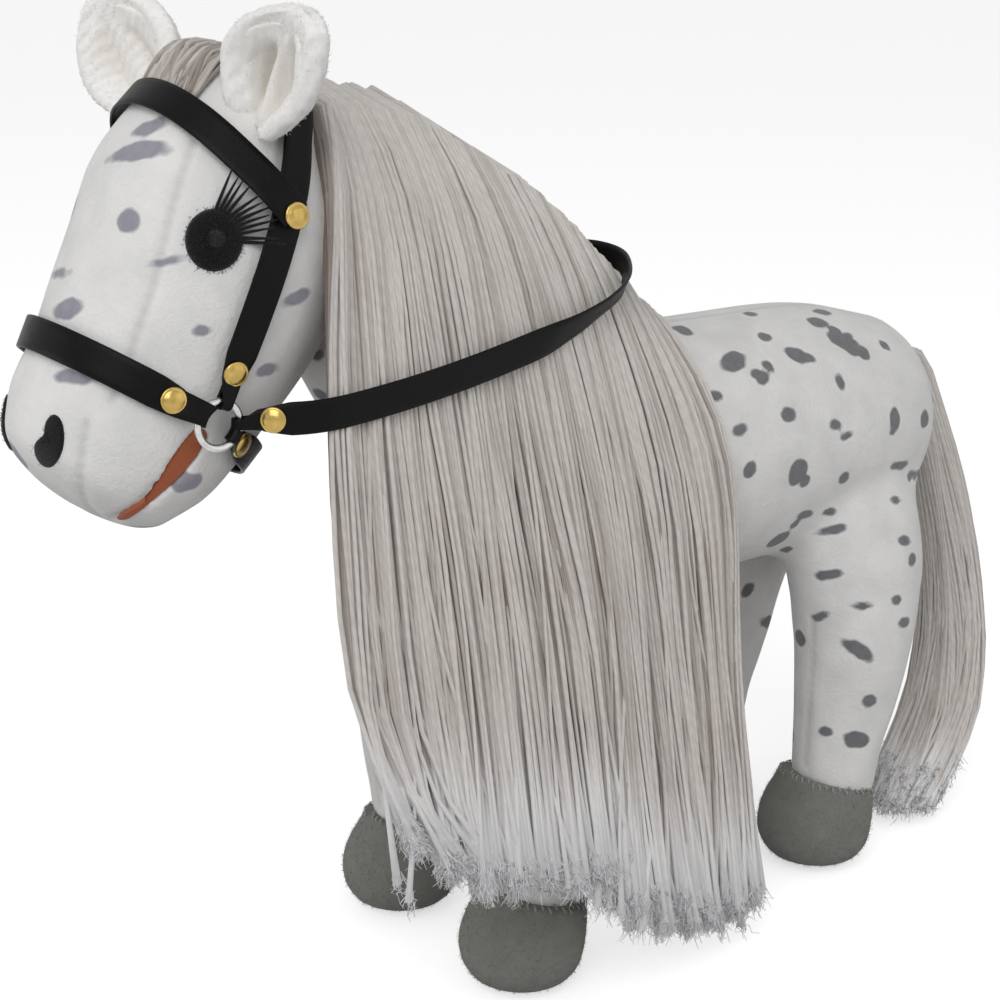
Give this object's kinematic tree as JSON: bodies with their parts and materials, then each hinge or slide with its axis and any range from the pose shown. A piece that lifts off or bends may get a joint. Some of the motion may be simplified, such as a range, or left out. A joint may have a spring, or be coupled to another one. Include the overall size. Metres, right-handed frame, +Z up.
{
  "type": "plush horse",
  "caption": "Standing stuffed toy horse with a yarn mane and tail, cupped ears, soft dark hooves, felt eyes with lashes and a riveted leather bridle with ringed reins.",
  "frame": {"origin": "middle of the bounding box, on the plane that the hooves stand on", "axes": "+Z up, -X towards the nose, -Y towards the horse's left, where the mane hangs"},
  "size_m": [0.4728, 0.154, 0.3757],
  "materials": {
    "white_plush": "short pile with grey printed spots",
    "ear_plush": "long pile",
    "hoof_felt": "short velvet pile",
    "black_felt": "smooth",
    "mouth_felt": "matte",
    "mane_tape": "woven",
    "yarn": "loose cotton yarn",
    "bridle_leather": "satin",
    "rivet_brass": "polished",
    "ring_wire": "satin"
  },
  "bodies": {
    "horse": {"torso": "white_plush", "neck": "white_plush", "head": "white_plush", "lower_jaw": "white_plush", "mouth_lining": "mouth_felt", "leg_front_left": "white_plush", "hoof_front_left": "hoof_felt", "leg_front_right": "white_plush", "hoof_front_right": "hoof_felt", "leg_hind_left": "white_plush", "hoof_hind_left": "hoof_felt", "leg_hind_right": "white_plush", "hoof_hind_right": "hoof_felt", "noseband": "bridle_leather", "chin_strap": "bridle_leather", "crownpiece": "bridle_leather", "browband": "bridle_leather", "rivet_noseband_left": "rivet_brass", "rivet_noseband_right": "rivet_brass", "rivet_chin_left": "rivet_brass", "rivet_chin_right": "rivet_brass", "rivet_cheek_left": "rivet_brass", "rivet_cheek_right": "rivet_brass", "rivet_browband_left": "rivet_brass", "rivet_browband_right": "rivet_brass", "ear_left": "ear_plush", "ear_lining_left": "ear_plush", "eye_left": "black_felt", "nostril_left": "black_felt", "eyelashes_left": "black_felt", "ear_right": "ear_plush", "ear_lining_right": "ear_plush", "eye_right": "black_felt", "nostril_right": "black_felt", "eyelashes_right": "black_felt", "mane_tape": "mane_tape", "mane": "yarn", "forelock": "yarn"},
    "reins": {"reins": "bridle_leather", "rivet_rein_left": "rivet_brass", "rivet_rein_right": "rivet_brass"},
    "ring_left": {"ring_left": "ring_wire"},
    "ring_right": {"ring_right": "ring_wire"},
    "tail": {"tail": "yarn"}
  },
  "joints": [
    {"name": "reins_lift", "type": "hinge", "parent": "horse", "child": "reins", "pos_m": [-0.18498, 0.01089, 0.24472], "axis": [0, -1, 0], "range_deg": [0, 28]},
    {"name": "ring_left_turn", "type": "hinge", "parent": "horse", "child": "ring_left", "pos_m": [-0.18498, -0.03261, 0.24472], "axis": [0, -1, 0], "continuous": true},
    {"name": "ring_right_turn", "type": "hinge", "parent": "horse", "child": "ring_right", "pos_m": [-0.18498, 0.05439, 0.24472], "axis": [0, -1, 0], "continuous": true},
    {"name": "tail_lift", "type": "hinge", "parent": "horse", "child": "tail", "pos_m": [0.18243, 0.01089, 0.217], "axis": [0, -1, 0], "range_deg": [0, 60]}
  ]
}
